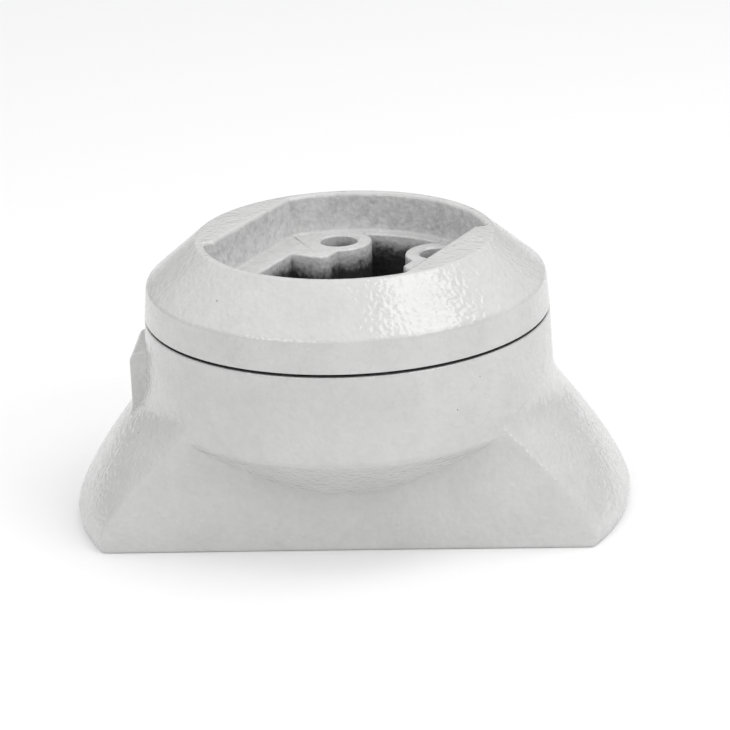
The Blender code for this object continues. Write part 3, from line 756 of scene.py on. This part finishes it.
def recess_quarter(sizes, relief):
    """A quarter of the recess: along a flat, past a relief or a plain corner, and round the end."""
    flat, radius = sizes["recess_flat"], sizes["recess_radius"]
    if relief:
        proud = flat + sizes["relief_proud"]
        turn_in = (flat, sizes["relief_start"])
        corner = (proud, math.sqrt(radius ** 2 - proud ** 2))
        step = line_leg(turn_in, corner, LEGS[2])
    else:
        turn_in = (flat, math.sqrt(radius ** 2 - flat ** 2))
        corner = (radius * math.cos(math.radians(41.5)), radius * math.sin(math.radians(41.5)))
        step = arc_leg((0.0, 0.0), radius, polar(turn_in), 41.5, LEGS[2])
    middle = (flat, flat * math.tan(math.radians(24.0)))
    return np.concatenate([
        line_leg((flat, 0.0), middle, LEGS[0]), line_leg(middle, turn_in, LEGS[1]), step,
        arc_leg((0.0, 0.0), radius, polar(corner), 46.0, LEGS[3]),
        arc_leg((0.0, 0.0), radius, 46.0, 71.2, LEGS[4]),
        arc_leg((0.0, 0.0), radius, 71.2, 90.0, LEGS[5]), [(0.0, radius)]])


def well_quarter(sizes):
    """A quarter of the well: a side pocket, the round bore's corner, the waist, a boss and the end."""
    wide, long = sizes["pocket_width"], sizes["pocket_length"]
    waist, bore = sizes["waist"], 18.0
    boss = (sizes["boss_across"], sizes["boss_along"])
    radius, end = sizes["boss_radius"], sizes["well_radius"]
    first = (math.sqrt(bore ** 2 - long ** 2), long)
    second = (waist, math.sqrt(bore ** 2 - waist ** 2))
    enter = 180.0 + math.degrees(math.acos((boss[0] - waist) / radius))
    meet = (waist, boss[1] + radius * math.sin(math.radians(enter)))
    span = math.hypot(*boss)
    reach = (end ** 2 - radius ** 2 + span ** 2) / (2.0 * span)
    chord = math.sqrt(end ** 2 - reach ** 2)
    leave_at = ((reach * boss[0] - chord * boss[1]) / span, (reach * boss[1] + chord * boss[0]) / span)
    leave = polar((leave_at[0] - boss[0], leave_at[1] - boss[1]))
    return np.concatenate([
        line_leg((wide, 0.0), (wide, long), LEGS[0]), line_leg((wide, long), first, LEGS[1]),
        arc_leg((0.0, 0.0), bore, polar(first), polar(second), LEGS[2]),
        line_leg(second, meet, LEGS[3]), arc_leg(boss, radius, enter, leave, LEGS[4]),
        arc_leg((0.0, 0.0), end, polar(leave_at), 90.0, LEGS[5]), [(0.0, end)]])


def whole_outline(first, second, turn):
    """An outline from its first quarter and the next one's mirror, half turned for the other half."""
    mirrored = second[::-1] * np.array([-1.0, 1.0])
    half = np.concatenate([first[:-1], mirrored[:-1]])
    outline = np.concatenate([half, -half])
    across, along = outline[:, 0], outline[:, 1]
    return np.stack([along * math.cos(turn) - across * math.sin(turn),
                     along * math.sin(turn) + across * math.cos(turn)], axis=-1)


def outward(outline):
    """Unit normals out of a closed outline, square to the line between each point's neighbours."""
    along = np.roll(outline, -1, axis=0) - np.roll(outline, 1, axis=0)
    normal = np.stack([along[:, 1], -along[:, 0]], axis=-1)
    normal /= np.linalg.norm(normal, axis=1, keepdims=True)
    follow = np.roll(outline, -1, axis=0)
    area = np.sum(outline[:, 0] * follow[:, 1] - outline[:, 1] * follow[:, 0])
    return normal * math.copysign(1.0, area)


def lifted(outline, height):
    """An outline as a ring at one height."""
    return np.column_stack([outline, np.full(len(outline), height)])


def circle_rings(profile, angle):
    """Rings of a (radius, height) profile at given angles."""
    return [np.column_stack([radius * np.cos(angle), radius * np.sin(angle), np.full(len(angle), height)])
            for radius, height in profile]


def head_rings(sizes):
    """All rings of the head: band and cone up, rim, recess wall, ledge, well, bore, neck and journal."""
    plain, relieved = recess_quarter(sizes, False), recess_quarter(sizes, True)
    well_part = well_quarter(sizes)
    recess = whole_outline(plain, relieved, sizes["turn"])
    well = whole_outline(well_part, well_part, sizes["turn"])
    recess_out, well_out = outward(recess), outward(well)
    angle = np.arctan2(recess[:, 1], recess[:, 0])
    low = HEAD_LOW_Z
    face = JOINT_Z + 0.6
    ledge = JOINT_Z + sizes["ledge"]
    floor = ledge - sizes["well_depth"]
    rim = sizes["rim_round"]
    outside = [(47.0, face), (57.6, face), (57.9, face + 0.3), (sizes["radius"], face + 0.3),
               (sizes["radius"] - sizes["band_draft"], JOINT_Z + sizes["band"]),
               (sizes["top_radius"], TOP_Z), (sizes["recess_radius"] + rim + 0.2, TOP_Z)]
    rings = circle_rings(rounded(outside, [0.0, 0.0, 0.3, sizes["edge_round"], 1.3], 8), angle)
    edge = lifted(recess + recess_out * rim, TOP_Z)
    rings += [rings[-1] + (edge - rings[-1]) * part for part in (0.4, 0.8)]
    for turn in np.linspace(0.0, 0.5 * math.pi, 8):
        spread, drop = rim * (1.0 - math.sin(turn)), rim * (1.0 - math.cos(turn))
        rings.append(lifted(recess + recess_out * spread, TOP_Z - drop))
    for height in np.linspace(TOP_Z - rim, ledge + 1.1, 7)[1:]:
        rings.append(lifted(recess, height))
    for turn in np.linspace(0.0, 0.5 * math.pi, 6)[1:]:
        spread, drop = 1.1 * (1.0 - math.cos(turn)), 1.1 * (1.0 - math.sin(turn))
        rings.append(lifted(recess - recess_out * spread, ledge + drop))
    lip = lifted(well + well_out * 0.7, ledge)
    rings += [rings[-1] + (lip - rings[-1]) * part for part in (0.3, 0.8)]
    for turn in np.linspace(0.0, 0.5 * math.pi, 5):
        spread, drop = 0.7 * (1.0 - math.sin(turn)), 0.7 * (1.0 - math.cos(turn))
        rings.append(lifted(well + well_out * spread, ledge - drop))
    for height in np.linspace(ledge - 0.7, floor, 8)[1:]:
        rings.append(lifted(well, height))
    inside = [(17.9, floor), (17.9, low), (31.0, low), (31.0, 36.0), (47.0, 36.0), (47.0, face)]
    rings += circle_rings(rounded(inside, [0.6, 0.5, 0.8, 0.6], 4)[:-1], angle)
    return np.stack(rings)


class STANCHION_OT_head(bpy.types.Operator):
    """Build the coned head with its recess and well"""

    bl_idname = "stanchion.head"
    bl_label = "Coned head"

    def execute(self, context):
        sizes = sizes_in_mm(context.scene.stanchion_head)
        ledge = JOINT_Z + sizes["ledge"]
        # The recess's radius and top, the ledge, and the height below which the well is painted near black
        # as painted shade.
        zones = (sizes["recess_radius"] * MM + 0.0002, TOP_Z * MM, ledge * MM, (ledge - 8.5) * MM)
        coat = powder_coat("head_powder_coat", context.scene.stanchion_coat, zones)
        head = make_piece("head_body", *ring_surface(head_rings(sizes)), coat)
        radius = sizes["bolt_radius"]
        bore = [(radius, ledge - sizes["bolt_depth"]), (radius, ledge - 0.6), (radius + 0.6, ledge),
                (radius + 0.6, ledge + 3.0)]
        forms = []
        for index, (x, y) in enumerate(places_of("stanchion_bolt_insert"), start=1):
            forms.append(turned_bar(f"bolt_hole_{index}", bore, 64, None, shift(x, y)))
        tap = [(3.3, 18.0), (3.3, 43.4)]
        for index, (x, y) in enumerate(places_of("retaining_screw"), start=1):
            forms.append(turned_bar(f"tap_hole_{index}", tap, 40, None, shift(x, y)))
        cut(head, forms)
        seat(head, "head", "head_coat", "swivel_head")
        return {"FINISHED"}


# Small pieces ------------------------------------------------------------------------------


class STANCHION_OT_seals(bpy.types.Operator):
    """Build the gap seal and the neck's ring"""

    bl_idname = "stanchion.seals"
    bl_label = "Seals"

    def execute(self, context):
        finish = rubber_finish(context.scene.stanchion_small.rubber)
        low, high = cad_span("gap_seal")
        outer = cad_radius("gap_seal") / MM
        edge, under = outer + 0.5, high - 0.3
        section = [(outer - 7.0, high), (edge, high), (edge, high - 0.25), (outer - 2.7, under),
                   (outer - 2.7, low), (outer - 4.7, low), (outer - 4.7, under), (outer - 7.0, under)]
        radii = [0.1, 0.1, 0.1, 0.3, 0.4, 0.4, 0.3, 0.1]
        seal = turned_piece("rubber_gap_seal", section, radii, finish, 192)
        seat(seal, "foot", "seal_rubber", "gap_seal")
        low, high = cad_span("neck_o_ring")
        middle, radius = 0.5 * (low + high), 0.5 * (high - low)
        around = np.arange(28) * (2.0 * math.pi / 28)
        centre = cad_radius("neck_o_ring") / MM - radius
        section = np.column_stack([centre + radius * np.cos(around), middle + radius * np.sin(around)])
        ring = make_piece("rubber_neck_ring", *ring_surface(turned(section, 144)), finish)
        seat(ring, "foot", "seal_rubber", "neck_o_ring")
        return {"FINISHED"}


class STANCHION_OT_bearings(bpy.types.Operator):
    """Build the bush and the two thrust washers"""

    bl_idname = "stanchion.bearings"
    bl_label = "Bearings"

    def execute(self, context):
        tint = context.scene.stanchion_small.acetal
        finish = turned_finish("bearing_acetal_turned", tint, 0.0, 0.42, 0.00035)
        widths = {"radial_bush": 3.7, "upper_thrust_washer": 15.1, "lower_thrust_washer": 5.4}
        for node, width in widths.items():
            low, high = cad_span(node)
            outer = cad_radius(node) / MM
            edge = 0.5 if node == "radial_bush" else 0.25
            section = [(outer - width, low), (outer, low), (outer, high), (outer - width, high)]
            ring = turned_piece(f"turned_{node}", section, [edge] * 4, finish, 144, 3)
            seat(ring, "foot", "bearing_acetal", node)
        return {"FINISHED"}


def thread_wave(angle, height, pitch):
    """Depth of a thread from 0 at its root to 1 at its crest: a blunted triangle wave.

    It is read at height / pitch less the share of a turn, so that it climbs as a helix.
    """
    phase = np.mod(height / pitch - angle / (2.0 * math.pi), 1.0)
    return np.clip(1.6 * (1.0 - np.abs(2.0 * phase - 1.0)) - 0.3, 0.0, 1.0)


def threaded_rings(radius, depth, low, high, pitch, columns, lead=0.8):
    """Rings up a threaded wall: the radius less the depth times the thread, fading at both ends."""
    angle = np.arange(columns) * (2.0 * math.pi / columns)
    rows = int((high - low) / pitch * 9) + 1
    height = np.linspace(low, high, rows)[:, None]
    fade = smooth_step(low, low + lead, height) * smooth_step(high, high - lead, height)
    reach = radius - depth * fade * thread_wave(angle[None, :], height, pitch)
    return np.stack([reach * np.cos(angle), reach * np.sin(angle),
                     np.broadcast_to(height, reach.shape)], axis=-1)


def threaded_sleeve(name, node, place, bore, major, pitch, finish):
    """A sleeve with a helical thread in its bore and small chamfers outside."""
    low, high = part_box(node)
    outer, low, high = 0.5 * (high.x - low.x) / MM, low.z / MM, high.z / MM
    columns = 56
    wall = [(major + 0.1, high), (outer - 0.4, high), (outer, high - 0.4), (outer, low + 0.4),
            (outer - 0.4, low), (major + 0.1, low)]
    inside = threaded_rings(major, major - bore, low + 0.3, high - 0.3, pitch, columns)
    grid = np.concatenate([turned(np.array(wall), columns), inside])
    sleeve = make_piece(name, *ring_surface(grid), finish)
    sleeve.data.transform(shift(*place))
    return sleeve


class STANCHION_OT_sleeves(bpy.types.Operator):
    """Build the threaded sleeves for the deck bolts and the stanchion bolts"""

    bl_idname = "stanchion.sleeves"
    bl_label = "Threaded sleeves"

    def execute(self, context):
        sizes = context.scene.stanchion_small
        kinds = [("deck_sleeve", "deck_sleeve", "deck_bolt_insert", "foot", 4.25, 5.0, sizes.deck_pitch),
                 ("stanchion_sleeve", "bolt_sleeve", "stanchion_bolt_insert", "head", 3.4, 4.0,
                  sizes.bolt_pitch)]
        for name, steel, kind, body, bore, major, pitch in kinds:
            for index, place in enumerate(places_of(kind), start=1):
                finish = turned_finish(f"{steel}_steel_{index}", sizes.steel, 1.0, 0.27, 0.0003,
                                       (place[0] * MM, place[1] * MM))
                node = f"{kind}_{index}"
                sleeve = threaded_sleeve(f"{name}_{index}", node, place, bore, major, pitch / MM, finish)
                seat(sleeve, body, "stainless", node)
        return {"FINISHED"}


class STANCHION_OT_retainer(bpy.types.Operator):
    """Build the retaining plate and its four countersunk screws"""

    bl_idname = "stanchion.retainer"
    bl_label = "Retaining plate"

    def execute(self, context):
        steel = context.scene.stanchion_small.steel
        finish = turned_finish("plate_steel_turned", steel, 1.0, 0.30, 0.0004)
        low, high = cad_span("retaining_plate")
        outer = cad_radius("retaining_plate") / MM
        section = [(17.0, low), (outer, low), (outer, high), (17.0, high)]
        plate = turned_piece("retaining_plate_turned", section, [0.6, 0.8, 0.6, 0.4], finish, 160, 4)
        seats = [(5.9, low - 2.0), (5.9, low + 0.6), (3.3, low + 3.6), (3.3, high + 2.0)]
        forms = []
        for index, (x, y) in enumerate(places_of("retaining_screw"), start=1):
            forms.append(turned_bar(f"seat_{index}", seats, 48, None, shift(x, y)))
        cut(plate, forms)
        seat(plate, "head", "stainless", "retaining_plate")
        for index, (x, y) in enumerate(places_of("retaining_screw"), start=1):
            metal = turned_finish(f"screw_steel_{index}", steel, 1.0, 0.24, 0.0003, (x * MM, y * MM))
            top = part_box(f"retaining_screw_{index}")[1].z / MM
            cone = [(0.02, low), (5.6, low), (5.6, low + 0.4), (3.0, low + 3.3), (3.0, low + 5.5)]
            cone = rounded(cone, [0.2, 0.2, 0.3], 3)
            thread = threaded_rings(3.0, 0.45, low + 5.6, top - 0.6, 1.0, 48)
            tip = turned(np.array([(2.4, top), (0.02, top)]), 48)
            grid = np.concatenate([turned(cone, 48), thread, tip])
            surface = ring_surface(grid, open_ends=True)
            screw = make_piece(f"retaining_screw_turned_{index}", *surface, metal)
            screw.data.transform(shift(x, y))
            socket = hexagon_bar(f"socket_{index}", 4.0, low - 3.0, low + 2.4, shift(x, y))
            cut(screw, [socket])
            seat(screw, "head", "stainless", f"retaining_screw_{index}")
        return {"FINISHED"}


class STANCHION_OT_lock(bpy.types.Operator):
    """Build the lock screw and the pad that it pushes"""

    bl_idname = "stanchion.lock"
    bl_label = "Lock screw and pad"

    def execute(self, context):
        sizes = context.scene.stanchion_small
        level = lock_turn()
        low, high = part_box("lock_screw")
        near, far = -high.x / MM, -low.x / MM
        steel = turned_finish("lock_screw_steel", sizes.steel, 1.0, 0.26, 0.0003, (0.0, LOCK_Z * MM), "X")
        thread = threaded_rings(4.0, 0.6, near + 0.8, far - 0.7, sizes.lock_pitch / MM, 56)
        first = turned(np.array([(0.02, near), (2.9, near), (3.2, near + 0.3)]), 56)
        last = turned(np.array([(3.4, far - 0.1), (3.2, far), (0.02, far)]), 56)
        grid = np.concatenate([first, thread, last])
        screw = make_piece("lock_screw_threaded", *ring_surface(grid, open_ends=True), steel)
        screw.data.transform(level)
        cut(screw, [hexagon_bar("lock_socket", 4.0, far - 4.0, far + 3.0, level)])
        seat(screw, "lock_screw", "stainless", "lock_screw")
        low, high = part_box("lock_pad")
        near, far = -high.x / MM, -low.x / MM
        radius = 0.5 * (high.z - low.z) / MM
        brass = turned_finish("lock_pad_brass", sizes.brass, 1.0, 0.32, 0.0003, (0.0, LOCK_Z * MM), "X")
        outline = rounded([(0.02, near), (radius, near), (radius, far), (0.02, far)], [0.5, 0.5], 4)
        pad = turned_bar("lock_pad_turned", outline, 56, brass, level)
        seat(pad, "lock_pad", "pad_brass", "lock_pad")
        return {"FINISHED"}


# Stage -------------------------------------------------------------------------------------


def softbox(name, place, target, width, depth, power):
    """A rectangular area light at a place, facing a target."""
    light = bpy.data.lights.new(name, "AREA")
    light.shape = "RECTANGLE"
    light.size, light.size_y, light.energy = width, depth, power
    lamp = bpy.data.objects.new(name, light)
    lamp.location = place
    lamp.rotation_euler = (Vector(target) - Vector(place)).to_track_quat("-Z", "Y").to_euler()
    bpy.context.scene.collection.objects.link(lamp)
    return lamp


def white_surround(strength):
    """A world that is bright overhead and dimmer towards the horizon."""
    world = bpy.data.worlds.new("white_surround")
    world.use_nodes = True
    tree = world.node_tree
    background = tree.nodes["Background"]
    place = tree.nodes.new("ShaderNodeTexCoord")
    split = tree.nodes.new("ShaderNodeSeparateXYZ")
    ramp = tree.nodes.new("ShaderNodeMapRange")
    tree.links.new(place.outputs["Generated"], split.inputs[0])
    tree.links.new(split.outputs["Z"], ramp.inputs[0])
    ramp.inputs[1].default_value, ramp.inputs[2].default_value = 0.0, 0.75
    ramp.inputs[3].default_value, ramp.inputs[4].default_value = 0.22 * strength, strength
    tree.links.new(ramp.outputs[0], background.inputs["Strength"])
    background.inputs["Color"].default_value = (1.0, 1.0, 1.0, 1.0)
    bpy.context.scene.world = world


def long_lens_camera(sizes):
    """A long-lens camera that looks down on the joint from the flat side, a little round to the right."""
    pitch, yaw, roll = 0.3507, 0.0058, -0.0385
    ahead = Vector((math.sin(yaw) * math.cos(pitch), math.cos(yaw) * math.cos(pitch), -math.sin(pitch)))
    right = Vector((math.cos(yaw), -math.sin(yaw), 0.0))
    up = right.cross(ahead)
    tilted = right * math.cos(roll) + up * math.sin(roll)
    above = up * math.cos(roll) - right * math.sin(roll)
    place = sizes.distance * Vector((0.0, -math.cos(sizes.elevation), math.sin(sizes.elevation)))
    turn = Matrix.Rotation(sizes.azimuth, 3, "Z")
    axes = Matrix([turn @ tilted, turn @ above, turn @ -ahead]).transposed()
    lens = bpy.data.cameras.new("camera")
    lens.lens, lens.sensor_width = sizes.lens, 36.0
    lens.clip_start, lens.clip_end = 0.01, 30.0
    camera = bpy.data.objects.new("camera", lens)
    spot = turn @ place + Vector((0.0, 0.0, JOINT_Z * MM))
    camera.matrix_world = Matrix.Translation(spot) @ axes.to_4x4()
    bpy.context.scene.collection.objects.link(camera)
    bpy.context.scene.camera = camera


class STANCHION_OT_stage(bpy.types.Operator):
    """Set the floor, the soft lights and the camera"""

    bl_idname = "stanchion.stage"
    bl_label = "Stage"

    def execute(self, context):
        sizes = context.scene.stanchion_stage
        sheet = Sheet("floor_paint")
        grain = sheet.noise(0.004, 2.0)
        base = sheet.blend(grain, rgba(sizes.floor_tint), rgba(sizes.floor_tint, 0.985))
        paint = sheet.finish({"Emission Strength": 0.14, "Roughness": 0.7},
                             {"Base Color": base, "Emission Color": base})
        reach = 6000.0
        corners = np.array([(-reach, -reach, -0.2), (reach, -reach, -0.2),
                            (reach, reach, -0.2), (-reach, reach, -0.2)])
        floor = make_piece("floor", corners, np.array([[0, 1, 2, 3]]), paint)
        white_surround(sizes.sky)
        softbox("key_softbox", (0.40, -0.01, 0.86), (0.02, -0.03, 0.07), 0.52, 0.38, sizes.key_power)
        softbox("left_softbox", (-0.62, -0.78, 0.80), (0.0, 0.0, 0.05), 0.55, 0.50, 0.62 * sizes.side_power)
        softbox("right_softbox", (0.86, -0.58, 0.76), (0.0, 0.0, 0.05), 0.60, 0.50,
                0.90 * sizes.side_power)
        long_lens_camera(sizes)
        context.scene.view_settings.view_transform = "Standard"
        return {"FINISHED"}


# Add-on ------------------------------------------------------------------------------------


OPERATORS = (STANCHION_OT_stage, STANCHION_OT_foot, STANCHION_OT_head, STANCHION_OT_seals,
             STANCHION_OT_bearings, STANCHION_OT_sleeves, STANCHION_OT_retainer, STANCHION_OT_lock)
GROUPS = {"stanchion_foot": FootSizes, "stanchion_head": HeadSizes, "stanchion_coat": CoatFinish,
          "stanchion_small": SmallParts, "stanchion_stage": StageSizes}


class STANCHION_PT_panel(bpy.types.Panel):
    """Sizes, colours and buttons of the stanchion base"""

    bl_idname = "STANCHION_PT_panel"
    bl_label = "Stanchion base"
    bl_space_type = "VIEW_3D"
    bl_region_type = "UI"
    bl_category = "Stanchion"

    def draw(self, context):
        for kind in OPERATORS:
            self.layout.operator(kind.bl_idname)
        for key in GROUPS:
            box = self.layout.box()
            group = getattr(context.scene, key)
            for name in group.bl_rna.properties.keys():
                if name not in ("rna_type", "name"):
                    box.prop(group, name)


def register():
    """Register the property groups, the operators and the panel."""
    for key, kind in GROUPS.items():
        bpy.utils.register_class(kind)
        setattr(bpy.types.Scene, key, PointerProperty(type=kind))
    for kind in (*OPERATORS, STANCHION_PT_panel):
        bpy.utils.register_class(kind)


def unregister():
    """Undo what register did, in the reverse order."""
    for kind in reversed((*OPERATORS, STANCHION_PT_panel)):
        bpy.utils.unregister_class(kind)
    for key, kind in reversed(GROUPS.items()):
        delattr(bpy.types.Scene, key)
        bpy.utils.unregister_class(kind)


def main():
    """Build the stage and every piece."""
    register()
    bpy.ops.stanchion.stage()
    bpy.ops.stanchion.foot()
    bpy.ops.stanchion.head()
    bpy.ops.stanchion.seals()
    bpy.ops.stanchion.bearings()
    bpy.ops.stanchion.sleeves()
    bpy.ops.stanchion.retainer()
    bpy.ops.stanchion.lock()


if __name__ == "__main__":
    main()
